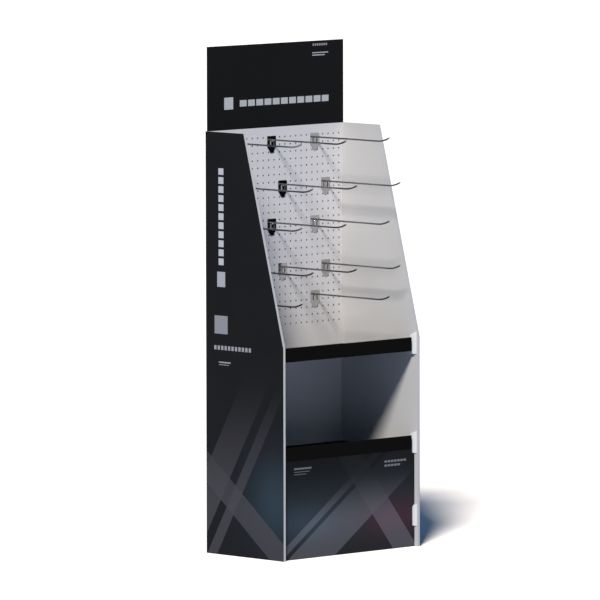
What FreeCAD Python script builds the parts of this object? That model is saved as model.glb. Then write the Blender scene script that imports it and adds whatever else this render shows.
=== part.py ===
import FreeCAD, Part
import math
import os
import Sketcher

os.makedirs("parts", exist_ok=True)
doc = FreeCAD.newDocument("display_stand")
sheet = doc.addObject("Spreadsheet::Sheet", "sizes")


class Size:
    """A number together with the spreadsheet formula that gives it."""

    def __init__(self, value, text):
        self.value = value
        self.text = text

    def join(self, other, sign, swap=False):
        other = other if isinstance(other, Size) else Size(other, str(other))
        left, right = (other, self) if swap else (self, other)
        value = {
            "+": lambda: left.value + right.value,
            "-": lambda: left.value - right.value,
            "*": lambda: left.value * right.value,
            "/": lambda: left.value / right.value,
        }[sign]()
        return Size(value, "(" + left.text + " " + sign + " " + right.text + ")")

    def __add__(self, other):
        return self.join(other, "+")

    def __sub__(self, other):
        return self.join(other, "-")

    def __rsub__(self, other):
        return self.join(other, "-", swap=True)

    def __mul__(self, other):
        return self.join(other, "*")

    def __truediv__(self, other):
        return self.join(other, "/")

    def __neg__(self):
        return self.join(-1, "*")


def size(alias, value):
    """Write one driving dimension, in mm, to the next row of the sheet."""
    row = sheet.getUsedCells()
    cell = "B" + str(len(row) // 2 + 1)
    sheet.set("A" + cell[1:], "'" + alias)
    sheet.set(cell, str(value))
    sheet.setAlias(cell, alias)
    return Size(value, "sizes." + alias)


# Case of folded board: its outline from the side, and the two layers of each wall.
case_width = size("case_width", 630)
case_depth = size("case_depth", 366)
top_depth = size("top_depth", 180)
knee_height = size("knee_height", 700)
wall_height = size("wall_height", 1396)
board = size("board_thickness", 4)
wall = size("wall_thickness", 10)
fit_gap = size("fit_gap", 0.3)

# Perforated panel: its holes, and the gap behind it that takes the hooks' lugs.
panel_thickness = size("panel_thickness", 3)
hole_pitch = size("hole_pitch", 25)
hole_dia = size("hole_dia", 5.5)
hole_columns = 24
first_row = size("first_row_height", 1362)
hook_gap = size("hook_gap", 4)

# Header card.
header_top = size("header_top", 1674)
header_inset = size("header_inset", 2.5)
tongue_depth = size("tongue_depth", 20)
tongue_inset = size("tongue_inset", 10)

# Trays, front panel and lock tabs.
tray_board = size("tray_board", 3)
front_recess = size("front_recess", 15)
lip_height = size("lip_height", 46)
end_clear = size("end_clear", 13)
end_clear_depth = size("end_clear_depth", 27)
upper_level = size("upper_level", 652)
lower_level = size("lower_level", 325)
tongue_length = size("tongue_length", 60)
tongue_reach = size("tongue_reach", 4.5)
flange_depth = size("flange_depth", 40)
tab_thickness = size("tab_thickness", 3)
tab_depth = size("tab_depth", 28)
tab_height = size("tab_height", 74)
tab_slope = size("tab_slope", 11)
tab_front = size("tab_front_setback", 5)
tab_levels = {
    "upper": size("upper_tab_level", 642),
    "lower": size("lower_tab_level", 311),
    "foot": size("foot_tab_level", 68),
}
slot_depth = size("slot_depth", 16)
slot_height = size("slot_height", 8)

# Hooks: a plate 40 mm wide that hangs by two lugs, and a wire welded to its face.
plate_width = size("plate_width", 40)
plate_thickness = size("plate_thickness", 1.6)
plate_rise = size("plate_rise", 5)
plate_side = size("plate_side", 37)
plate_height = size("plate_height", 57)
foot_width = size("foot_width", 15)
corner_cut = size("corner_cut", 2)
slit_width = size("slit_width", 5)
slit_height = size("slit_height", 18)
slit_drop = size("slit_drop", 11)
slit_offset = size("slit_offset", 8.5)
strap_rise = size("strap_rise", 2)
strap_width = size("strap_width", 9)
lug = size("lug_thickness", 3.4)
lug_height = size("lug_height", 9)
wire_dia = size("wire_dia", 5.5)
wire_drop = size("wire_drop", 8)
wire_straight = size("wire_straight", 297)
tip_run = size("tip_run", 54)
tip_rise = size("tip_rise", 12.5)
tip_steps = (0, 0.5, 1)

# Hook rows: hole row from the top, and the hooks' places across in hole pitches.
hook_rows = [
    ("row1", 0, {"left": -9, "middle": -1, "right": 7}),
    ("row2", 6, {"left": -7, "middle": 1, "right": 9}),
    ("row3", 11, {"left": -9, "middle": -1, "right": 7}),
    ("row4", 17, {"left": -7, "middle": 1, "right": 9}),
    ("row5", 21, {"left": -9, "right": 7}),
]

half_width = case_width / 2
inner_half = half_width - wall
rear = case_depth / 2
back_face = rear - board
panel_back = back_face - hook_gap
peg_face = panel_back - panel_thickness
front_face = -rear + front_recess
nodes = {}


def bind(thing, prop, value):
    """Give a property its value, and the formula behind it."""
    if isinstance(value, Size):
        thing.setExpression(prop, value.text)
    elif prop.startswith("Placement"):
        setattr(thing.Placement.Base, prop[-1], value)
    else:
        setattr(thing, prop, value)


def new_body(label, x=0, y=0, z=0):
    """Start a named piece, with its origin at x, y, z."""
    body = doc.addObject("PartDesign::Body", label)
    body.Label = label
    for axis, value in (("x", x), ("y", y), ("z", z)):
        if isinstance(value, Size) or value:
            bind(body, "Placement.Base." + axis, value)
    nodes[label] = body
    return body


def plane(body, role):
    """The body's own origin plane with that role."""
    return [part for part in body.Origin.OriginFeatures if part.Role == role][0]


def new_sketch(body, name, role, offset=0):
    """A sketch on one origin plane of the body, moved along its normal by offset."""
    sketch = body.newObject("Sketcher::SketchObject", body.Label + "_" + name)
    sketch.AttachmentSupport = [(plane(body, role), "")]
    sketch.MapMode = "FlatFace"
    if isinstance(offset, Size):
        sketch.setExpression("AttachmentOffset.Base.z", offset.text)
    return sketch


def pin(sketch, shape, point, across, up):
    """Hold one point of the sketch at its two distances from the origin."""
    for kind, axis, value in (("DistanceX", -2, across), ("DistanceY", -1, up)):
        if isinstance(value, Size):
            rule = Sketcher.Constraint(kind, -1, 1, shape, point, value.value)
            index = sketch.addConstraint(rule)
            sketch.setExpression("Constraints[" + str(index) + "]", value.text)
        else:
            sketch.addConstraint(Sketcher.Constraint("PointOnObject", shape, point, axis))


def number(value):
    return value.value if isinstance(value, Size) else value


def vector(point):
    return FreeCAD.Vector(number(point[0]), number(point[1]), 0)


def draw_loop(sketch, points):
    """A closed outline through the points, each held by its own distances."""
    first = sketch.GeometryCount
    for index, point in enumerate(points):
        following = points[(index + 1) % len(points)]
        sketch.addGeometry(Part.LineSegment(vector(point), vector(following)))
    for index, point in enumerate(points):
        before = first + (index - 1) % len(points)
        sketch.addConstraint(Sketcher.Constraint("Coincident", before, 2, first + index, 1))
        pin(sketch, first + index, 1, point[0], point[1])


def draw_box(sketch, left, right, low, high):
    draw_loop(sketch, [(left, low), (right, low), (right, high), (left, high)])


def pad(body, sketch, length, both=False, back=False):
    """Raise the sketch to a solid: from its plane, or to both sides of it."""
    feature = body.newObject("PartDesign::Pad", sketch.Label + "_pad")
    feature.Profile = sketch
    feature.setExpression("Length", length.text)
    feature.Midplane = both
    feature.Reversed = back
    body.Tip = feature
    return feature


def pocket(body, sketch, length, both=False, back=False):
    """Cut the sketch out of the body: from its plane, or to both sides of it."""
    feature = body.newObject("PartDesign::Pocket", sketch.Label + "_cut")
    feature.Profile = sketch
    feature.setExpression("Length", length.text)
    feature.Midplane = both
    feature.Reversed = back
    body.Tip = feature
    return feature


def make_outer_wrap():
    """Left wall, back and right wall, folded from one sheet."""
    body = new_body("outer_wrap")
    side = new_sketch(body, "side", "YZ_Plane")
    top_front = rear - top_depth
    outline = [(-rear, 0), (-rear, knee_height), (top_front, wall_height), (rear, wall_height), (rear, 0)]
    draw_loop(side, outline)
    pad(body, side, case_width, both=True)

    inside = new_sketch(body, "inside", "XY_Plane")
    draw_box(inside, -inner_half, inner_half, -rear - board, back_face)
    pocket(body, inside, wall_height + board, back=True)

    # Between the two layers of each wall the gap stops one board behind the front fold.
    layer_gap = wall - board * 2
    gap_front = -rear + board
    gap_outline = [
        (gap_front, -board),
        (gap_front, knee_height),
        (top_front + board, wall_height),
        (top_front + board, wall_height + board),
        (back_face, wall_height + board),
        (back_face, -board),
    ]
    for name, offset in (("gap_right", inner_half + board), ("gap_left", -half_width + board)):
        gap = new_sketch(body, name, "YZ_Plane", offset)
        draw_loop(gap, gap_outline)
        pocket(body, gap, layer_gap, back=True)

    slots = new_sketch(body, "slots", "YZ_Plane")
    for level in (upper_level, lower_level):
        for centre in tongue_centres():
            half = tongue_length / 2 + fit_gap
            draw_box(slots, centre - half, centre + half, level - fit_gap, level + tray_board + fit_gap)
    slot_front = front_face + fit_gap
    slot_top = tab_levels["upper"] - fit_gap * 10
    draw_box(slots, slot_front, slot_front + slot_depth, slot_top - slot_height, slot_top)
    pocket(body, slots, (inner_half + board + fit_gap * 2) * 2, both=True)


def tongue_centres():
    """Places, front to back, of the two tongues on each side of a tray."""
    return (-tongue_length * 1.2, tongue_length * 1.4)


def make_pegboard():
    """The perforated panel: eight-sided holes, in the rows that the hooks use."""
    body = new_body("pegboard", y=panel_back)
    face = new_sketch(body, "face", "XZ_Plane")
    half = inner_half - fit_gap
    draw_box(face, -half, half, upper_level + tray_board + fit_gap, wall_height)
    pad(body, face, panel_thickness)

    holes = new_sketch(body, "holes", "XZ_Plane")
    outermost = -hole_pitch * (hole_columns - 1) / 2
    for label, row, places in hook_rows:
        centre = (outermost, first_row - hole_pitch * row)
        half = hole_dia / 2
        corner = hole_dia * (math.tan(math.pi / 8) / 2)
        sides = [(corner, -half), (half, -corner), (half, corner), (corner, half)]
        sides += [(-across, -up) for across, up in sides]
        draw_loop(holes, [(centre[0] + across, centre[1] + up) for across, up in sides])
    drilled = pocket(body, holes, panel_thickness * 3, both=True)

    pattern = body.newObject("PartDesign::LinearPattern", "pegboard_columns")
    pattern.Originals = [drilled]
    pattern.Direction = (holes, ["H_Axis"])
    pattern.setExpression("Length", (hole_pitch * (hole_columns - 1)).text)
    pattern.Occurrences = hole_columns
    body.Tip = pattern


def make_header_card():
    """A flat card on the wall tops, with a tongue between the perforated panel and the back."""
    body = new_body("header_card", y=back_face)
    face = new_sketch(body, "face", "XZ_Plane")
    wide = half_width - header_inset
    narrow = inner_half - tongue_inset
    outline = [
        (-narrow, wall_height - tongue_depth),
        (narrow, wall_height - tongue_depth),
        (narrow, wall_height),
        (wide, wall_height),
        (wide, header_top),
        (-wide, header_top),
        (-wide, wall_height),
        (-narrow, wall_height),
    ]
    draw_loop(face, outline)
    pad(body, face, hook_gap)


def make_shelf(label, level):
    """A tray of one sheet: a surface with four tongues, and an upright lip."""
    body = new_body(label, z=level)
    surface = new_sketch(body, "surface", "XY_Plane")
    half = inner_half - fit_gap
    reach = inner_half + tongue_reach
    short = inner_half - end_clear
    right = [(short, front_face), (short, front_face + end_clear_depth), (half, front_face + end_clear_depth)]
    for centre in tongue_centres():
        start = centre - tongue_length / 2
        end = centre + tongue_length / 2
        right += [(half, start), (reach, start), (reach, end), (half, end)]
    right.append((half, back_face - fit_gap))
    left = [(-across, along) for across, along in reversed(right)]
    draw_loop(surface, right + left)
    pad(body, surface, tray_board)

    lip = new_sketch(body, "lip", "YZ_Plane")
    draw_box(lip, front_face, front_face + tray_board, 0, lip_height)
    pad(body, lip, short * 2, both=True)


def make_front_panel():
    """The panel below the lower lip, with a flange under the lower tray."""
    body = new_body("front_panel", y=front_face + tray_board)
    face = new_sketch(body, "face", "XZ_Plane")
    half = inner_half - fit_gap
    short = inner_half - end_clear
    top = lower_level - fit_gap
    foot = tab_levels["foot"]
    right = [
        (half, 0),
        (half, foot - fit_gap),
        (short, foot - fit_gap),
        (short, foot + tab_height + fit_gap),
        (half, foot + tab_height + fit_gap),
        (half, tab_levels["lower"] - fit_gap),
        (short, tab_levels["lower"] - fit_gap),
        (short, top),
    ]
    left = [(-across, up) for across, up in reversed(right)]
    draw_loop(face, right + left)
    pad(body, face, tray_board)

    flange = new_sketch(body, "flange", "YZ_Plane")
    draw_box(flange, -tray_board, -tray_board + flange_depth, top - tray_board, top)
    pad(body, flange, short * 2, both=True)


def make_lock_tab(label, side, level):
    """A small upright tab on a wall's inner face; its top slopes down to the rear."""
    body = new_body(label, x=inner_half * side, y=-rear + tab_front, z=level)
    outline = new_sketch(body, "outline", "YZ_Plane")
    points = [(0, 0), (tab_depth, 0), (tab_depth, tab_height - tab_slope), (0, tab_height)]
    draw_loop(outline, points)
    pad(body, outline, tab_thickness, back=side > 0)


def make_hook_plate(label, across, height):
    """Pressed plate, seen from the front: straight sides, then a narrow foot."""
    body = new_body(label, x=across, y=peg_face, z=height)
    face = new_sketch(body, "face", "XZ_Plane", fit_gap)
    half = plate_width / 2
    top = plate_rise
    points = [
        (half - corner_cut, top),
        (half, top - corner_cut),
        (half, top - plate_side),
        (foot_width / 2, top - plate_height + corner_cut),
        (foot_width / 2 - corner_cut * 1.5, top - plate_height),
    ]
    mirrored = [(-x, z) for x, z in reversed(points)]
    draw_loop(face, points + mirrored)
    for side in (-1, 1):
        middle = slit_offset * side
        edges = (middle - slit_width / 2, middle + slit_width / 2)
        draw_box(face, edges[0], edges[1], -slit_drop - slit_height, -slit_drop)
    pad(body, face, plate_thickness)

    strap = new_sketch(body, "strap", "YZ_Plane")
    face_y = -fit_gap - plate_thickness
    points = [
        (face_y, -slit_drop),
        (face_y - strap_rise, -slit_drop - strap_rise),
        (face_y - strap_rise, -slit_drop - slit_height + strap_rise),
        (face_y, -slit_drop - slit_height),
    ]
    draw_loop(strap, points)
    pad(body, strap, strap_width, both=True)

    # Two lugs go through neighbouring holes and turn up behind the panel.
    lug_rear = panel_thickness + fit_gap + lug
    for name, side in (("lug_left", -1), ("lug_right", 1)):
        shape = new_sketch(body, name, "YZ_Plane", (hole_pitch + lug * side) / 2 * side)
        low = -lug / 2
        points = [
            (-fit_gap, low),
            (lug_rear, low),
            (lug_rear, lug_height),
            (lug_rear - lug, lug_height),
            (lug_rear - lug, lug / 2),
            (-fit_gap, lug / 2),
        ]
        draw_loop(shape, points)
        pad(body, shape, lug, back=True)


def make_hook_wire(label, across, height):
    """Straight level wire, its end turned up in short steps of an even bend."""
    root = peg_face - fit_gap - plate_thickness
    body = new_body(label, x=across, y=root, z=height - wire_drop)
    path = new_sketch(body, "path", "YZ_Plane")
    points = [(0, 0)]
    points += [(-wire_straight - tip_run * step, tip_rise * step**2 if step else 0) for step in tip_steps]
    for index in range(len(points) - 1):
        path.addGeometry(Part.LineSegment(vector(points[index]), vector(points[index + 1])))
        before = (index - 1, 2) if index else (-1, 1)
        path.addConstraint(Sketcher.Constraint("Coincident", *before, index, 1))
        pin(path, index, 2, *points[index + 1])

    ring = new_sketch(body, "ring", "XZ_Plane")
    ring.addGeometry(Part.Circle(FreeCAD.Vector(0, 0, 0), FreeCAD.Vector(0, 0, 1), wire_dia.value / 2))
    ring.addConstraint(Sketcher.Constraint("Coincident", 0, 3, -1, 1))
    rule = ring.addConstraint(Sketcher.Constraint("Diameter", 0, wire_dia.value))
    ring.setExpression("Constraints[" + str(rule) + "]", wire_dia.text)

    rod = body.newObject("PartDesign::AdditivePipe", label + "_rod")
    rod.Profile = ring
    rod.Spine = (path, [])
    rod.Transition = "Right corner"
    body.Tip = rod


make_outer_wrap()
make_pegboard()
make_header_card()
make_shelf("upper_shelf", upper_level)
make_shelf("lower_shelf", lower_level)
make_front_panel()
for side_name, side_sign in (("left", -1), ("right", 1)):
    for level_name, tab_level in tab_levels.items():
        make_lock_tab("lock_tab_" + side_name + "_" + level_name, side_sign, tab_level)
for row_name, hole_row, hook_places in hook_rows:
    for place_name, pitches in hook_places.items():
        suffix = row_name + "_" + place_name
        hook_x = hole_pitch * pitches
        hook_z = first_row - hole_pitch * hole_row
        make_hook_plate("hook_plate_" + suffix, hook_x, hook_z)
        make_hook_wire("hook_wire_" + suffix, hook_x, hook_z)

doc.recompute()
for thing in doc.Objects:
    if "Invalid" in thing.State or "Error" in thing.State:
        raise RuntimeError("not computed: " + thing.Label)
for label, body in nodes.items():
    if body.Shape.isNull() or not body.Shape.isValid() or len(body.Shape.Solids) != 1:
        raise RuntimeError("bad shape: " + label)
    body.Shape.exportStep("parts/" + label + ".step")
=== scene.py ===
import math

import bmesh
import bpy
from mathutils import Matrix, Vector


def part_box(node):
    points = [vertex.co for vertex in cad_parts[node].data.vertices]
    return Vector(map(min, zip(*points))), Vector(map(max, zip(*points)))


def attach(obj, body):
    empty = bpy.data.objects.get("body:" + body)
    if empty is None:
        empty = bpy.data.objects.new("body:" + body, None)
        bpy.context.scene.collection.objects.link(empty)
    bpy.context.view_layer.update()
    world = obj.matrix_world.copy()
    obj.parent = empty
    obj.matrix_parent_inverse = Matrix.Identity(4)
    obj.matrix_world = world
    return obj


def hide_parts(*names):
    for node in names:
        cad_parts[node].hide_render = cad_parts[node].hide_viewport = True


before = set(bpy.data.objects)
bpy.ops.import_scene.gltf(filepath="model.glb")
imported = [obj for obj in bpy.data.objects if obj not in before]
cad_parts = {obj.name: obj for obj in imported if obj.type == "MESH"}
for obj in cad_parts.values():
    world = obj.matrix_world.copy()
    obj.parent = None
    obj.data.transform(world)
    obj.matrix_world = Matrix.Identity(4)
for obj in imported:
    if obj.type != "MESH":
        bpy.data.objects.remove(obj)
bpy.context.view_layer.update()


# The folded case: left wall, back and right wall from one sheet of fluted board.
# The outside is printed black with slanted bands low down. The inside and the turned-over
# front edges are the white face of the board; the folds are slightly rounded.
def plain_piece(name, modified):
    """A plain mesh object of what an object's live modifiers give."""
    graph = bpy.context.evaluated_depsgraph_get()
    mesh = bpy.data.meshes.new_from_object(modified.evaluated_get(graph), depsgraph=graph)
    piece = bpy.data.objects.new(name, mesh)
    bpy.context.scene.collection.objects.link(piece)
    bpy.data.objects.remove(modified, do_unlink=True)
    return piece


def rounded_copy(name, node, radius, steps=2):
    """The board or metal of one node, with its hard edges rounded."""
    work = bpy.data.objects.new(name + "_work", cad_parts[node].data.copy())
    bpy.context.scene.collection.objects.link(work)
    shell = bmesh.new()
    shell.from_mesh(work.data)
    bmesh.ops.remove_doubles(shell, verts=shell.verts, dist=1e-6)
    bmesh.ops.dissolve_limit(shell, angle_limit=0.01, verts=shell.verts, edges=shell.edges)
    for face in shell.faces:
        face.smooth = True
    shell.to_mesh(work.data)
    shell.free()
    bevel = work.modifiers.new("edges", "BEVEL")
    bevel.width = radius
    bevel.segments = steps
    bevel.limit_method = "ANGLE"
    bevel.angle_limit = math.radians(25)
    flats = work.modifiers.new("flats", "WEIGHTED_NORMAL")
    flats.weight = 100
    flats.keep_sharp = True
    return plain_piece(name, work)


def settle(piece, material, nodes):
    """Dress a finished piece and let it stand for its nodes."""
    piece.data.materials.clear()
    piece.data.materials.append(material)
    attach(piece, "root")
    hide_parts(*nodes)


class Wiring:
    """Short words for laying out one node tree."""

    def __init__(self, tree):
        self.tree = tree

    def add(self, kind, **settings):
        node = self.tree.nodes.new(kind)
        for key, value in settings.items():
            setattr(node, key, value)
        return node

    def feed(self, socket, value):
        if isinstance(value, bpy.types.NodeSocket):
            self.tree.links.new(value, socket)
        else:
            socket.default_value = value

    def math(self, operation, *values):
        node = self.add("ShaderNodeMath", operation=operation)
        for socket, value in zip(node.inputs, values):
            self.feed(socket, value)
        return node.outputs[0]

    def ramp(self, value, low, high, start=0.0, end=1.0):
        """Turns value between low and high smoothly into start to end."""
        node = self.add("ShaderNodeMapRange", interpolation_type="SMOOTHSTEP")
        labels = ("Value", "From Min", "From Max", "To Min", "To Max")
        for label, given in zip(labels, (value, low, high, start, end)):
            self.feed(node.inputs[label], given)
        return node.outputs["Result"]

    def mix(self, share, first, second, blend="MIX"):
        node = self.add("ShaderNodeMix", data_type="RGBA", blend_type=blend)
        self.feed(node.inputs["Factor"], share)
        for socket, colour in ((node.inputs[6], first), (node.inputs[7], second)):
            self.feed(socket, (*colour, 1.0) if isinstance(colour, tuple) else colour)
        return node.outputs[2]

    def place(self):
        """x, y and z on the object, and the whole vector."""
        coords = self.add("ShaderNodeTexCoord").outputs["Object"]
        split = self.add("ShaderNodeSeparateXYZ")
        self.feed(split.inputs[0], coords)
        return (*split.outputs, coords)

    def use(self, group, **values):
        node = self.add("ShaderNodeGroup", node_tree=group)
        for key, value in values.items():
            self.feed(node.inputs[key.replace("_", " ")], value)
        return node.outputs


def shader_group(name, inputs, outputs):
    """An empty group of shader nodes, its entry and its exit."""
    tree = bpy.data.node_groups.new(name, "ShaderNodeTree")
    for label, kind in inputs:
        tree.interface.new_socket(label, in_out="INPUT", socket_type="NodeSocket" + kind)
    for label, kind in outputs:
        tree.interface.new_socket(label, in_out="OUTPUT", socket_type="NodeSocket" + kind)
    wires = Wiring(tree)
    return tree, wires, wires.add("NodeGroupInput").outputs, wires.add("NodeGroupOutput").inputs


def board_face_group():
    """Paper face of fluted board: cloudy tone, fine fibres, and the flutes just showing through."""
    tree, wires, given, out = shader_group(
        "board_face",
        [("Vector", "Vector"), ("Along", "Float"), ("Flute Pitch", "Float"), ("Cloud", "Float")],
        [("Tone", "Float"), ("Height", "Float"), ("Dullness", "Float")],
    )
    cloud = wires.add("ShaderNodeTexNoise")
    wires.feed(cloud.inputs["Vector"], given["Vector"])
    cloud.inputs["Scale"].default_value = 9.0
    cloud.inputs["Detail"].default_value = 3.0
    fibre = wires.add("ShaderNodeTexNoise")
    wires.feed(fibre.inputs["Vector"], given["Vector"])
    fibre.inputs["Scale"].default_value = 900.0
    fibre.inputs["Detail"].default_value = 4.0
    fibre.inputs["Roughness"].default_value = 0.65
    clouds = wires.math("MULTIPLY", wires.math("SUBTRACT", cloud.outputs[0], 0.5), given["Cloud"])
    fibres = wires.math("MULTIPLY", wires.math("SUBTRACT", fibre.outputs[0], 0.5), 0.06)
    wires.feed(out["Tone"], wires.math("ADD", wires.math("ADD", clouds, fibres), 1.0))
    turns = wires.math("DIVIDE", given["Along"], given["Flute Pitch"])
    wave = wires.math("SINE", wires.math("MULTIPLY", turns, math.tau))
    ridges = wires.math("MULTIPLY", wave, 0.12)
    wires.feed(out["Height"], wires.math("ADD", fibre.outputs[0], ridges))
    wires.feed(out["Dullness"], wires.math("MULTIPLY", wires.math("SUBTRACT", cloud.outputs[0], 0.5), 0.25))
    return tree


board_face = board_face_group()
flute_pitch = 0.0065


def slanted_band_group():
    """A straight band across a face, at an angle, with crisp edges."""
    tree, wires, given, out = shader_group(
        "slanted_band",
        [("Across", "Float"), ("Up", "Float"), ("Angle", "Float"), ("Offset", "Float"),
         ("Half Width", "Float")],
        [("Mask", "Float")],
    )
    turn = wires.math("RADIANS", given["Angle"])
    part_across = wires.math("MULTIPLY", given["Across"], wires.math("COSINE", turn))
    part_up = wires.math("MULTIPLY", given["Up"], wires.math("SINE", turn))
    distance = wires.math("SUBTRACT", wires.math("ADD", part_across, part_up), given["Offset"])
    inside = wires.math("SUBTRACT", given["Half Width"], wires.math("ABSOLUTE", distance))
    wires.feed(out["Mask"], wires.ramp(inside, -0.0006, 0.0006))
    return tree


slanted_band = slanted_band_group()


def block_row_group():
    """A row of plain pale blocks with narrow gaps, inside a box on a flat face."""
    tree, wires, given, out = shader_group(
        "block_row",
        [("Along", "Float"), ("Beside", "Float"), ("Start", "Float"), ("End", "Float"),
         ("Middle", "Float"), ("Half Height", "Float"), ("Pitch", "Float"), ("Gap", "Float")],
        [("Mask", "Float")],
    )
    edge = 0.0004
    run = wires.math("SUBTRACT", given["Along"], given["Start"])
    before_end = wires.math("SUBTRACT", wires.math("SUBTRACT", given["End"], given["Gap"]), given["Along"])
    phase = wires.math("FLOORED_MODULO", run, given["Pitch"])
    block = wires.math("SUBTRACT", wires.math("SUBTRACT", given["Pitch"], given["Gap"]), phase)
    height = wires.math("SUBTRACT", given["Half Height"],
                        wires.math("ABSOLUTE", wires.math("SUBTRACT", given["Beside"], given["Middle"])))
    mask = wires.ramp(height, -edge, edge)
    for value in (run, before_end, block):
        mask = wires.math("MULTIPLY", mask, wires.ramp(value, -edge, edge))
    wires.feed(out["Mask"], mask)
    return tree


block_row = block_row_group()


def rows_of_blocks(wires, along, beside, rows):
    """Several block rows on one face, each with its share of ink, as one mask."""
    inked = 0.0
    for start, end, middle, half_height, pitch, gap, ink in rows:
        row = wires.use(block_row, Along=along, Beside=beside, Start=start, End=end, Middle=middle,
                        Half_Height=half_height, Pitch=pitch, Gap=gap)["Mask"]
        inked = wires.math("MAXIMUM", inked, wires.math("MULTIPLY", row, ink))
    return inked


def crossed_bands(wires, across, up, bands):
    """Slanted bands on one face, lighter where they cross."""
    cover = 0.72
    bare = 1.0
    for angle, offset, half_width in bands:
        band = wires.use(slanted_band, Across=across, Up=up, Angle=angle, Offset=offset,
                         Half_Width=half_width)["Mask"]
        left_bare = wires.math("SUBTRACT", 1.0, wires.math("MULTIPLY", band, cover))
        bare = wires.math("MULTIPLY", bare, left_bare)
    return wires.math("SUBTRACT", 1.0, bare)


def soft_patch_group():
    """A soft printed patch of colour round a centre, fading with distance."""
    tree, wires, given, out = shader_group(
        "soft_patch",
        [("Across", "Float"), ("Up", "Float"), ("Centre Across", "Float"), ("Centre Up", "Float"),
         ("Reach Across", "Float"), ("Reach Up", "Float")],
        [("Mask", "Float")],
    )
    parts = []
    for axis in ("Across", "Up"):
        away = wires.math("SUBTRACT", given[axis], given["Centre " + axis])
        share = wires.math("DIVIDE", away, given["Reach " + axis])
        parts.append(wires.math("MULTIPLY", share, share))
    distance = wires.math("ADD", *parts)
    wires.feed(out["Mask"], wires.math("EXPONENT", wires.math("MULTIPLY", distance, -1.0)))
    return tree


soft_patch = soft_patch_group()


def board_material(name, along="z"):
    """A new material with its wiring, its shader, the place on the object and the paper face."""
    material = bpy.data.materials.new(name)
    material.use_nodes = True
    wires = Wiring(material.node_tree)
    shader = material.node_tree.nodes["Principled BSDF"]
    shader.inputs["Specular IOR Level"].default_value = 0.06
    x, y, z, coords = wires.place()
    run = {"x": x, "y": y, "z": z}[along]
    paper = wires.use(board_face, Vector=coords, Along=run, Flute_Pitch=flute_pitch, Cloud=0.05)
    bump = wires.add("ShaderNodeBump")
    bump.inputs["Strength"].default_value = 0.08
    bump.inputs["Distance"].default_value = 0.0004
    wires.feed(bump.inputs["Height"], paper["Height"])
    wires.feed(shader.inputs["Normal"], bump.outputs[0])
    return material, wires, shader, (x, y, z), paper


def toned(wires, colour, tone):
    """A colour darkened or lightened by the paper's tone."""
    scale = wires.add("ShaderNodeVectorMath", operation="SCALE")
    wires.feed(scale.inputs[0], colour)
    wires.feed(scale.inputs["Scale"], tone)
    return scale.outputs[0]


def case_print():
    """Black outside with slanted bands and a teal patch low down, white inside."""
    material, wires, shader, (x, y, z), paper = board_material("case_print")
    skin, cut = 0.0006, 0.0004
    (_, _, foot_level), (half_width, rear, wall_top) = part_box("outer_wrap")
    along = wires.math("MULTIPLY", y, -1.0)
    black = wires.mix(wires.ramp(z, 0.75, 0.15), (0.0052, 0.0056, 0.0070), (0.0078, 0.0088, 0.0115))
    teal = wires.use(soft_patch, Across=along, Up=z, Centre_Across=0.15, Centre_Up=0.19,
                     Reach_Across=0.12, Reach_Up=0.13)["Mask"]
    colour = wires.mix(wires.math("MULTIPLY", teal, 0.9), black, (0.030, 0.050, 0.066))
    bands = crossed_bands(wires, along, z, ((150, 0.245, 0.055), (150, 0.135, 0.020), (52, 0.115, 0.042)))
    strength = wires.ramp(z, 0.62, 0.12, 0.0, 0.95)
    colour = wires.mix(wires.math("MULTIPLY", bands, strength), colour, (0.073, 0.069, 0.077))
    # Each row: its start, end and middle, half its height, the pitch, the gap, and the share of ink.
    upright = rows_of_blocks(wires, z, along, (
        (0.958, 1.285, -0.110, 0.0120, 0.0298, 0.0075, 0.80),
        (0.886, 0.936, -0.110, 0.0190, 0.0600, 0.0001, 0.62),
        (0.731, 0.791, -0.111, 0.0310, 0.0700, 0.0001, 0.42),
    ))
    lying = rows_of_blocks(wires, along, z, (
        (-0.144, 0.036, 0.685, 0.0070, 0.0164, 0.0055, 0.50),
        (-0.122, -0.066, 0.637, 0.0022, 0.0700, 0.0001, 0.50),
        (-0.122, -0.074, 0.629, 0.0010, 0.0700, 0.0001, 0.50),
    ))
    inked = wires.math("MAXIMUM", upright, lying)
    colour = wires.mix(inked, colour, (0.68, 0.68, 0.685))
    back = wires.math("GREATER_THAN", y, rear - skin)
    right = wires.math("GREATER_THAN", x, 0.0)
    plain = wires.math("MAXIMUM", back, right)
    outer = wires.mix(plain, colour, black)
    side = wires.math("GREATER_THAN", wires.math("ABSOLUTE", x), half_width - skin)
    outside = wires.math("MAXIMUM", side, back)
    white = toned(wires, (0.618, 0.597, 0.573), paper["Tone"])
    flutes = wires.math("SINE", wires.math("MULTIPLY", wires.math("ADD", x, y), math.tau / flute_pitch))
    cut_edge = wires.mix(wires.ramp(flutes, -0.3, 0.3), (0.40, 0.37, 0.33), (0.62, 0.60, 0.57))
    top = wires.math("GREATER_THAN", z, wall_top - cut)
    foot = wires.math("LESS_THAN", z, foot_level + cut)
    inside = wires.mix(wires.math("MAXIMUM", top, foot), white, cut_edge)
    wires.feed(shader.inputs["Base Color"], wires.mix(outside, inside, toned(wires, outer, paper["Tone"])))
    wires.feed(shader.inputs["Roughness"], wires.math("ADD", paper["Dullness"], 0.55))
    return material


case = rounded_copy("folded_case", "outer_wrap", 0.0007)
settle(case, case_print(), ["outer_wrap"])


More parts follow.
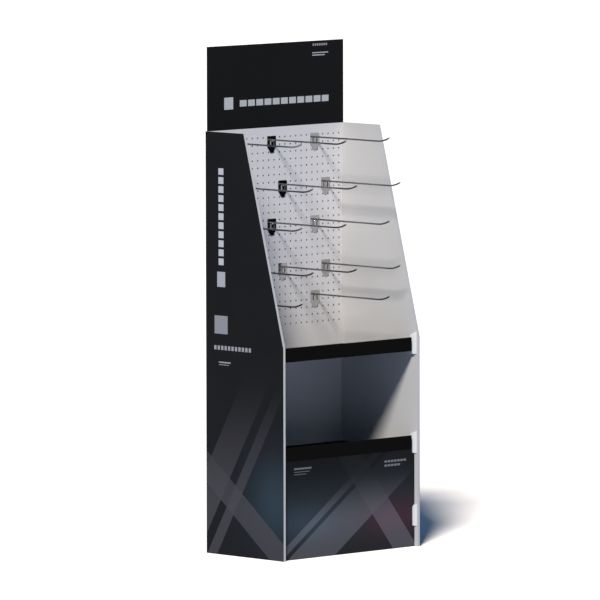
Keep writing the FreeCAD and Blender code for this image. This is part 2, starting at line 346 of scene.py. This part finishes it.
# The perforated panel: one white sheet with 24 by 26 round holes punched at an even pitch.
# It stands on the upper tray, a small gap in front of the closed back, so its holes look dark;
# their walls are also painted near black as shade.
def perforated_tree():
    """Outline and holes filled as one sheet, then raised to the sheet's thickness."""
    tree = bpy.data.node_groups.new("perforated_sheet", "GeometryNodeTree")
    sizes = [("Width", 0.6094), ("Height", 0.7407), ("Thickness", 0.003), ("Pitch", 0.025),
             ("Hole Radius", 0.00275), ("Lowest Row", 0.737), ("Bottom", 0.6553)]
    for label, value in sizes:
        socket = tree.interface.new_socket(label, in_out="INPUT", socket_type="NodeSocketFloat")
        socket.default_value = value
    for label, value in (("Columns", 24), ("Rows", 26)):
        socket = tree.interface.new_socket(label, in_out="INPUT", socket_type="NodeSocketInt")
        socket.default_value = value
    tree.interface.new_socket("Finish", in_out="INPUT", socket_type="NodeSocketMaterial")
    tree.interface.new_socket("Geometry", in_out="OUTPUT", socket_type="NodeSocketGeometry")
    wires = Wiring(tree)
    given = wires.add("NodeGroupInput").outputs
    out = wires.add("NodeGroupOutput").inputs

    def moved(geometry, up):
        vector = wires.add("ShaderNodeCombineXYZ")
        wires.feed(vector.inputs["Y"], up)
        move = wires.add("GeometryNodeTransform")
        wires.feed(move.inputs["Geometry"], geometry)
        wires.feed(move.inputs["Translation"], vector.outputs[0])
        return move.outputs["Geometry"]

    outline = wires.add("GeometryNodeCurvePrimitiveQuadrilateral")
    wires.feed(outline.inputs["Width"], given["Width"])
    wires.feed(outline.inputs["Height"], given["Height"])
    middle = wires.math("ADD", given["Bottom"], wires.math("DIVIDE", given["Height"], 2.0))
    sheet = moved(outline.outputs[0], middle)
    grid = wires.add("GeometryNodeMeshGrid")
    for axis, count in (("X", "Columns"), ("Y", "Rows")):
        gaps = wires.math("SUBTRACT", given[count], 1.0)
        wires.feed(grid.inputs["Size " + axis], wires.math("MULTIPLY", gaps, given["Pitch"]))
        wires.feed(grid.inputs["Vertices " + axis], given[count])
    rise = wires.math("MULTIPLY", wires.math("SUBTRACT", given["Rows"], 1.0), given["Pitch"])
    mid_row = wires.math("ADD", given["Lowest Row"], wires.math("DIVIDE", rise, 2.0))
    lattice = moved(grid.outputs["Mesh"], mid_row)
    ring = wires.add("GeometryNodeCurvePrimitiveCircle")
    ring.inputs["Resolution"].default_value = 14
    wires.feed(ring.inputs["Radius"], given["Hole Radius"])
    punch = wires.add("GeometryNodeInstanceOnPoints")
    wires.feed(punch.inputs["Points"], lattice)
    wires.feed(punch.inputs["Instance"], ring.outputs[0])
    loose = wires.add("GeometryNodeRealizeInstances")
    wires.feed(loose.inputs[0], punch.outputs[0])
    together = wires.add("GeometryNodeJoinGeometry")
    wires.feed(together.inputs[0], sheet)
    wires.feed(together.inputs[0], loose.outputs[0])
    fill = wires.add("GeometryNodeFillCurve")
    wires.feed(fill.inputs[0], together.outputs[0])
    raised = wires.add("GeometryNodeExtrudeMesh")
    raised.inputs["Individual"].default_value = False
    wires.feed(raised.inputs["Mesh"], fill.outputs[0])
    wires.feed(raised.inputs["Offset Scale"], given["Thickness"])
    under = wires.add("GeometryNodeFlipFaces")
    wires.feed(under.inputs[0], fill.outputs[0])
    both = wires.add("GeometryNodeJoinGeometry")
    wires.feed(both.inputs[0], raised.outputs["Mesh"])
    wires.feed(both.inputs[0], under.outputs[0])
    closed = wires.add("GeometryNodeMergeByDistance")
    wires.feed(closed.inputs["Geometry"], both.outputs[0])
    closed.inputs["Distance"].default_value = 1e-6
    upright = wires.add("GeometryNodeTransform")
    wires.feed(upright.inputs["Geometry"], closed.outputs[0])
    upright.inputs["Rotation"].default_value = (math.pi / 2, 0, 0)
    rear_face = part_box("pegboard")[1][1]
    upright.inputs["Translation"].default_value = (0, rear_face, 0)
    real = wires.add("GeometryNodeRealizeInstances")
    wires.feed(real.inputs[0], upright.outputs[0])
    dressed = wires.add("GeometryNodeSetMaterial")
    wires.feed(dressed.inputs["Geometry"], real.outputs[0])
    wires.feed(dressed.inputs["Material"], given["Finish"])
    wires.feed(out["Geometry"], dressed.outputs[0])
    return tree


def grown_piece(name, tree, material, points=()):
    """What a Geometry Nodes tree makes, from nothing or from points, as a plain mesh."""
    start = bpy.data.meshes.new(name + "_work")
    start.from_pydata(list(points), [], [])
    work = bpy.data.objects.new(name + "_work", start)
    bpy.context.scene.collection.objects.link(work)
    modifier = work.modifiers.new("grow", "NODES")
    modifier.node_group = tree
    for item in tree.interface.items_tree:
        if item.in_out == "INPUT" and item.socket_type == "NodeSocketMaterial":
            modifier[item.identifier] = material
    return plain_piece(name, work)


def panel_print():
    """White faces; the cut edges and the insides of the holes near black: raw board, with painted shade."""
    material, wires, shader, (_, y, _), paper = board_material("panel_white", "x")
    low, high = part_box("pegboard")
    middle, half_thickness = (low[1] + high[1]) / 2, (high[1] - low[1]) / 2
    skin = 0.00002
    off_middle = wires.math("ABSOLUTE", wires.math("SUBTRACT", y, middle))
    cut = wires.math("LESS_THAN", off_middle, half_thickness - skin)
    # Painted shade: the cut edges and hole walls are far darker than raw board, so the holes look dark.
    colour = wires.mix(cut, (0.81, 0.775, 0.75), (0.06, 0.056, 0.052))
    wires.feed(shader.inputs["Base Color"], toned(wires, colour, paper["Tone"]))
    wires.feed(shader.inputs["Roughness"], wires.math("ADD", paper["Dullness"], 0.5))
    return material


panel_white = panel_print()
panel = grown_piece("perforated_panel", perforated_tree(), panel_white)
settle(panel, panel_white, ["pegboard"])


# The header card: one flat card, printed black, its tongue glued between the panel and the back.
# Plain pale blocks stand where such cards carry their print.
def header_print():
    """Black with a pale block and a row of plain pale blocks."""
    material, wires, shader, (x, y, z), paper = board_material("header_print")
    inked = rows_of_blocks(wires, x, z, (
        (-0.166, 0.250, 1.481, 0.0105, 0.0378, 0.0065, 0.92),
        (-0.237, -0.196, 1.483, 0.0200, 0.0600, 0.0001, 0.95),
        (0.170, 0.240, 1.661, 0.0038, 0.0100, 0.0030, 0.55),
        (0.168, 0.242, 1.634, 0.0016, 0.0900, 0.0001, 0.90),
        (0.168, 0.226, 1.626, 0.0016, 0.0900, 0.0001, 0.90),
    ))
    front_face, wall_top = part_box("header_card")[0][1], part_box("outer_wrap")[1][2]
    front = wires.math("LESS_THAN", y, front_face + 0.0004)
    share = wires.math("MULTIPLY", inked, front)
    printed = wires.mix(share, (0.0074, 0.0076, 0.0086), (0.63, 0.625, 0.61))
    tongue = wires.math("LESS_THAN", z, wall_top - 0.0002)
    both = wires.mix(tongue, printed, (0.72, 0.71, 0.69))
    wires.feed(shader.inputs["Base Color"], toned(wires, both, paper["Tone"]))
    wires.feed(shader.inputs["Roughness"], wires.math("ADD", paper["Dullness"], 0.55))
    return material


header = rounded_copy("header", "header_card", 0.0006)
settle(header, header_print(), ["header_card"])


# The two trays: each one sheet with its front edge turned up as a lip, black on both faces.
# Their tongues go into slots in the walls.
def tray_print():
    """Deep black on both faces."""
    material, wires, shader, _, paper = board_material("tray_print", "x")
    wires.feed(shader.inputs["Base Color"], toned(wires, (0.0026, 0.0026, 0.0026), paper["Tone"]))
    wires.feed(shader.inputs["Roughness"], wires.math("ADD", paper["Dullness"], 0.6))
    shader.inputs["Specular IOR Level"].default_value = 0.03
    return material


tray_board = tray_print()
for level in ("upper", "lower"):
    tray = rounded_copy(level + "_tray", level + "_shelf", 0.0006)
    settle(tray, tray_board, [level + "_shelf"])


# The front panel: one sheet with a flange folded back under the lower tray.
# Its print goes from near black at the top to grey, with a blue and a wine-red patch low down.
def front_print():
    """Black to grey, with slanted bands and two soft patches."""
    material, wires, shader, (x, y, z), paper = board_material("front_print")
    grey = wires.mix(wires.ramp(z, 0.32, 0.15), (0.0050, 0.0062, 0.0085), (0.022, 0.027, 0.030))
    grey = wires.mix(wires.ramp(z, 0.13, 0.0), grey, (0.017, 0.018, 0.020))
    blue = wires.use(soft_patch, Across=x, Up=z, Centre_Across=-0.19, Centre_Up=0.115,
                     Reach_Across=0.17, Reach_Up=0.060)["Mask"]
    red = wires.use(soft_patch, Across=x, Up=z, Centre_Across=0.21, Centre_Up=0.105,
                    Reach_Across=0.16, Reach_Up=0.060)["Mask"]
    colour = wires.mix(wires.math("MULTIPLY", blue, 0.75), grey, (0.048, 0.070, 0.094))
    colour = wires.mix(wires.math("MULTIPLY", red, 0.75), colour, (0.075, 0.028, 0.042))
    bands = crossed_bands(wires, x, z, ((125, 0.100, 0.062), (125, 0.190, 0.012), (38, 0.205, 0.044)))
    lighter = wires.mix(1.0, colour, (0.107, 0.104, 0.109), "ADD")
    strength = wires.ramp(z, 0.27, 0.10, 0.06, 0.95)
    colour = wires.mix(wires.math("MULTIPLY", bands, strength), colour, lighter)
    inked = rows_of_blocks(wires, x, z, (
        (0.165, 0.268, 0.2925, 0.0034, 0.0147, 0.0030, 0.44),
        (0.165, 0.240, 0.2790, 0.0034, 0.0150, 0.0030, 0.44),
        (-0.252, -0.172, 0.2985, 0.0028, 0.0900, 0.0001, 0.38),
        (-0.252, -0.180, 0.2880, 0.0012, 0.0900, 0.0001, 0.30),
        (-0.252, -0.196, 0.2800, 0.0012, 0.0900, 0.0001, 0.30),
    ))
    colour = wires.mix(inked, colour, (0.50, 0.505, 0.51))
    rear_face, flange_top, skin = -0.165, 0.325, 0.0005
    rear = wires.math("GREATER_THAN", y, rear_face - skin)
    under_top = wires.math("LESS_THAN", z, flange_top - skin * 2)
    colour = wires.mix(wires.math("MULTIPLY", rear, under_top), colour, (0.56, 0.545, 0.535))
    wires.feed(shader.inputs["Base Color"], toned(wires, colour, paper["Tone"]))
    wires.feed(shader.inputs["Roughness"], wires.math("ADD", paper["Dullness"], 0.5))
    return material


front = rounded_copy("front_sheet", "front_panel", 0.0006)
settle(front, front_print(), ["front_panel"])


# The lock tabs: six small upright tabs of bright white board on the walls' inner faces.
# Each has a top that slopes down to the rear, and stands just in front of a lip or the panel.
def tab_finish():
    """Bare white clay-coated board."""
    material, wires, shader, _, paper = board_material("tab_white")
    wires.feed(shader.inputs["Base Color"], toned(wires, (0.92, 0.915, 0.905), paper["Tone"]))
    wires.feed(shader.inputs["Roughness"], wires.math("ADD", paper["Dullness"], 0.5))
    return material


tab_white = tab_finish()
for side in ("left", "right"):
    for level in ("upper", "lower", "foot"):
        node = "lock_tab_" + side + "_" + level
        settle(rounded_copy(node + "_card", node, 0.0008, 3), tab_white, [node])


# The hook plates: pressed steel, bright chrome, each with two slits and a raised strap between.
# Two lugs at its back go through neighbouring holes and turn up behind the panel. Dark strips just
# inside the slits and the dark backs of the plates are painted shade in the slits.
def chrome(name, colour, roughness, streak, dull_and_painted_shade_depth=1.0):
    """Plated steel with faint polishing streaks; behind the given depth rougher, and painted dark as shade.
    """
    material = bpy.data.materials.new(name)
    material.use_nodes = True
    wires = Wiring(material.node_tree)
    shader = material.node_tree.nodes["Principled BSDF"]
    shader.inputs["Metallic"].default_value = 1.0
    _, y, _, coords = wires.place()
    stretch = wires.add("ShaderNodeMapping")
    wires.feed(stretch.inputs["Vector"], coords)
    stretch.inputs["Scale"].default_value = streak
    marks = wires.add("ShaderNodeTexNoise")
    wires.feed(marks.inputs["Vector"], stretch.outputs[0])
    marks.inputs["Scale"].default_value = 40.0
    marks.inputs["Detail"].default_value = 3.0
    behind = wires.math("GREATER_THAN", y, dull_and_painted_shade_depth)
    shine = wires.ramp(marks.outputs[0], 0.3, 0.7, roughness * 0.75, roughness * 1.3)
    wires.feed(shader.inputs["Roughness"], wires.math("ADD", shine, wires.math("MULTIPLY", behind, 0.35)))
    shade = wires.ramp(marks.outputs[0], 0.25, 0.75, 0.92, 1.05)
    # Painted shade: behind the given depth, on the plates' backs and the slit strips, the colour is dark.
    colour = wires.mix(behind, colour, (0.07, 0.07, 0.075))
    wires.feed(shader.inputs["Base Color"], toned(wires, colour, shade))
    bump = wires.add("ShaderNodeBump")
    bump.inputs["Strength"].default_value = 0.05
    bump.inputs["Distance"].default_value = 0.0002
    wires.feed(bump.inputs["Height"], marks.outputs[0])
    wires.feed(shader.inputs["Normal"], bump.outputs[0])
    return material


def add_painted_shade_strips(plate, centre, foot):
    """Two thin dark strips just inside the plate's slits: painted shade where the slits show the panel."""
    slit_offset, slit_rise, depth = 0.0085, 0.032, 0.1714
    strip = (0.0051, 0.0005, 0.0181)
    mesh = bmesh.new()
    mesh.from_mesh(plate.data)
    for side in (-1, 1):
        middle = Vector((centre + slit_offset * side, depth, foot + slit_rise))
        shape = Matrix.Translation(middle) @ Matrix.Diagonal((*strip, 1))
        bmesh.ops.create_cube(mesh, size=1, matrix=shape)
    mesh.to_mesh(plate.data)
    mesh.free()


# Behind this depth the plates and their slit strips are painted dark as shade.
plate_chrome = chrome("plate_chrome", (0.58, 0.58, 0.59), 0.05, (12, 1, 1), 0.1709)
hook_names = sorted(name[len("hook_plate_"):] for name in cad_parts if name.startswith("hook_plate_"))
for hook in hook_names:
    plate = rounded_copy("plate_" + hook, "hook_plate_" + hook, 0.0003)
    low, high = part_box("hook_plate_" + hook)
    add_painted_shade_strips(plate, (low[0] + high[0]) / 2, low[2])
    settle(plate, plate_chrome, ["hook_plate_" + hook])


# The hook wires: one straight round wire each, welded to its plate, its end turned up in an
# even bend and rounded. Their base colour is darker than the plates': painted dark reflections.
wire_radius = 0.00275


def wire_tree():
    """A round wire along a straight run and an arc, with a domed end, set at each hook's root."""
    tree = bpy.data.node_groups.new("hook_wire", "GeometryNodeTree")
    tree.interface.new_socket("Roots", in_out="INPUT", socket_type="NodeSocketGeometry")
    for label, value in (("Straight", 0.297), ("Run", 0.054), ("Rise", 0.0125), ("Radius", wire_radius)):
        socket = tree.interface.new_socket(label, in_out="INPUT", socket_type="NodeSocketFloat")
        socket.default_value = value
    tree.interface.new_socket("Finish", in_out="INPUT", socket_type="NodeSocketMaterial")
    tree.interface.new_socket("Geometry", in_out="OUTPUT", socket_type="NodeSocketGeometry")
    wires = Wiring(tree)
    given = wires.add("NodeGroupInput").outputs
    out = wires.add("NodeGroupOutput").inputs

    def point(back, up):
        vector = wires.add("ShaderNodeCombineXYZ")
        wires.feed(vector.inputs["Y"], wires.math("MULTIPLY", back, -1.0))
        wires.feed(vector.inputs["Z"], up)
        return vector.outputs[0]

    run = wires.add("GeometryNodeCurvePrimitiveLine")
    bend = point(given["Straight"], 0.0)
    wires.feed(run.inputs["End"], bend)
    arc = wires.add("GeometryNodeCurveQuadraticBezier")
    arc.inputs["Resolution"].default_value = 12
    wires.feed(arc.inputs["Start"], bend)
    half = wires.math("ADD", given["Straight"], wires.math("MULTIPLY", given["Run"], 0.52))
    wires.feed(arc.inputs["Middle"], point(half, 0.0))
    tip = point(wires.math("ADD", given["Straight"], given["Run"]), given["Rise"])
    wires.feed(arc.inputs["End"], tip)
    section = wires.add("GeometryNodeCurvePrimitiveCircle")
    section.inputs["Resolution"].default_value = 20
    wires.feed(section.inputs["Radius"], given["Radius"])
    parts = wires.add("GeometryNodeJoinGeometry")
    for path in (run.outputs[0], arc.outputs[0]):
        rod = wires.add("GeometryNodeCurveToMesh")
        wires.feed(rod.inputs["Curve"], path)
        wires.feed(rod.inputs["Profile Curve"], section.outputs[0])
        wires.feed(parts.inputs[0], rod.outputs[0])
    dome = wires.add("GeometryNodeMeshUVSphere")
    dome.inputs["Segments"].default_value = 20
    dome.inputs["Rings"].default_value = 12
    wires.feed(dome.inputs["Radius"], given["Radius"])
    place = wires.add("ShaderNodeSeparateXYZ")
    wires.feed(place.inputs[0], wires.add("GeometryNodeInputPosition").outputs[0])
    half_dome = wires.add("GeometryNodeDeleteGeometry")
    wires.feed(half_dome.inputs["Geometry"], dome.outputs[0])
    wires.feed(half_dome.inputs["Selection"], wires.math("LESS_THAN", place.outputs["Z"], -1e-6))
    lean = wires.add("ShaderNodeCombineXYZ")
    last_run = wires.math("MULTIPLY", given["Run"], 0.48)
    wires.feed(lean.inputs["X"], wires.math("ARCTAN2", last_run, given["Rise"]))
    set_dome = wires.add("GeometryNodeTransform")
    wires.feed(set_dome.inputs["Geometry"], half_dome.outputs[0])
    wires.feed(set_dome.inputs["Translation"], tip)
    wires.feed(set_dome.inputs["Rotation"], lean.outputs[0])
    wires.feed(parts.inputs[0], set_dome.outputs[0])
    welded = wires.add("GeometryNodeMergeByDistance")
    wires.feed(welded.inputs["Geometry"], parts.outputs[0])
    welded.inputs["Distance"].default_value = 8e-5
    smooth = wires.add("GeometryNodeSetShadeSmooth")
    wires.feed(smooth.inputs["Geometry"], welded.outputs[0])
    hung = wires.add("GeometryNodeInstanceOnPoints")
    wires.feed(hung.inputs["Points"], given["Roots"])
    wires.feed(hung.inputs["Instance"], smooth.outputs[0])
    real = wires.add("GeometryNodeRealizeInstances")
    wires.feed(real.inputs[0], hung.outputs[0])
    dressed = wires.add("GeometryNodeSetMaterial")
    wires.feed(dressed.inputs["Geometry"], real.outputs[0])
    wires.feed(dressed.inputs["Material"], given["Finish"])
    wires.feed(out["Geometry"], dressed.outputs[0])
    return tree


def close_roots(piece):
    """Flat ends where the wires meet their plates."""
    mesh = bmesh.new()
    mesh.from_mesh(piece.data)
    bmesh.ops.holes_fill(mesh, edges=[edge for edge in mesh.edges if edge.is_boundary])
    bmesh.ops.recalc_face_normals(mesh, faces=mesh.faces)
    mesh.to_mesh(piece.data)
    mesh.free()


# Painted reflection: the wires' base colour is darker than the plates' to stand for the dark surroundings
# they reflect.
wire_chrome = chrome("wire_chrome", (0.25, 0.25, 0.255), 0.22, (1, 0.2, 1))
wire_nodes = ["hook_wire_" + hook for hook in hook_names]
roots = []
for node in wire_nodes:
    low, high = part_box(node)
    roots.append(((low[0] + high[0]) / 2, high[1], low[2] + wire_radius))
wires_piece = grown_piece("hook_wires", wire_tree(), wire_chrome, roots)
close_roots(wires_piece)
settle(wires_piece, wire_chrome, wire_nodes)


# The studio: pale floor, one soft key light from the front left above, and a weak bluish
# room light. The floor and the room are white to the camera, and the floor takes the shadow.
def seen_directly(wires):
    """1 for what the camera sees, directly or in a shine."""
    sight = wires.add("ShaderNodeLightPath").outputs
    shine = wires.math("MAXIMUM", sight["Is Glossy Ray"], sight["Is Transmission Ray"])
    return wires.math("MAXIMUM", sight["Is Camera Ray"], shine)


def studio_floor():
    bpy.ops.mesh.primitive_plane_add(size=400, location=(0, 0, -0.0005))
    floor = bpy.context.object
    floor.name = "studio_floor"
    material = bpy.data.materials.new("floor_white")
    material.use_nodes = True
    wires = Wiring(material.node_tree)
    shader = material.node_tree.nodes["Principled BSDF"]
    shader.inputs["Roughness"].default_value = 0.9
    shader.inputs["Specular IOR Level"].default_value = 0.0
    bounced, seen = (0.47, 0.555, 0.74), (1.52, 1.42, 1.30)
    wires.feed(shader.inputs["Base Color"], wires.mix(seen_directly(wires), bounced, seen))
    floor.data.materials.append(material)


studio_floor()


def studio_room():
    world = bpy.data.worlds.new("room")
    bpy.context.scene.world = world
    world.use_nodes = True
    wires = Wiring(world.node_tree)
    nodes = world.node_tree.nodes
    background = nodes["Background"]
    background.inputs["Color"].default_value = (0.25, 0.50, 1.0, 1)
    background.inputs["Strength"].default_value = 0.13
    seen = wires.add("ShaderNodeBackground")
    seen.inputs["Color"].default_value = (1, 1, 1, 1)
    seen.inputs["Strength"].default_value = 1.0
    both = wires.add("ShaderNodeMixShader")
    wires.feed(both.inputs[0], seen_directly(wires))
    wires.feed(both.inputs[1], background.outputs[0])
    wires.feed(both.inputs[2], seen.outputs[0])
    wires.feed(nodes["World Output"].inputs["Surface"], both.outputs[0])


studio_room()


def dark_flag():
    """A dark card on the stand's front right, out of the picture, for the chrome to reflect."""
    bpy.ops.mesh.primitive_plane_add(size=1, location=(3.3, -3.4, 1.6))
    flag = bpy.context.object
    flag.name = "dark_flag"
    flag.scale = (4.2, 3.2, 1)
    flag.rotation_euler = (math.radians(90), 0, math.radians(44))
    material = bpy.data.materials.new("flag_black")
    material.use_nodes = True
    shader = material.node_tree.nodes["Principled BSDF"]
    shader.inputs["Base Color"].default_value = (0.012, 0.012, 0.014, 1)
    shader.inputs["Roughness"].default_value = 0.9
    shader.inputs["Specular IOR Level"].default_value = 0.0
    flag.data.materials.append(material)
    flag.visible_camera = False
    flag.visible_diffuse = False
    flag.visible_shadow = False


dark_flag()


def sunlike(name, travel, strength, spread, colour):
    """A far soft lamp whose light travels one way."""
    data = bpy.data.lights.new(name, "SUN")
    data.energy = strength
    data.angle = math.radians(spread)
    data.color = colour
    light = bpy.data.objects.new(name, data)
    bpy.context.scene.collection.objects.link(light)
    light.rotation_euler = Vector(travel).to_track_quat("-Z", "Y").to_euler()
    return light


sunlike("key_light", (1.45, 1.0, -1.77), 3.5, 11.0, (1.0, 0.985, 0.965))


def studio_camera():
    data = bpy.data.cameras.new("camera")
    data.lens = 533.62
    data.sensor_width = 36.0
    data.clip_end = 120.0
    camera = bpy.data.objects.new("camera", data)
    bpy.context.scene.collection.objects.link(camera)
    camera.location = (-20.418, -21.0134, 3.4033)
    aim = Vector((-0.0299, 0.0317, 0.8299))
    turn = (aim - camera.location).to_track_quat("-Z", "Y").to_matrix()
    roll = Matrix.Rotation(math.radians(-0.12), 3, "Z")
    camera.rotation_euler = (turn @ roll).to_euler()
    bpy.context.scene.camera = camera
    bpy.context.scene.view_settings.view_transform = "Standard"


studio_camera()
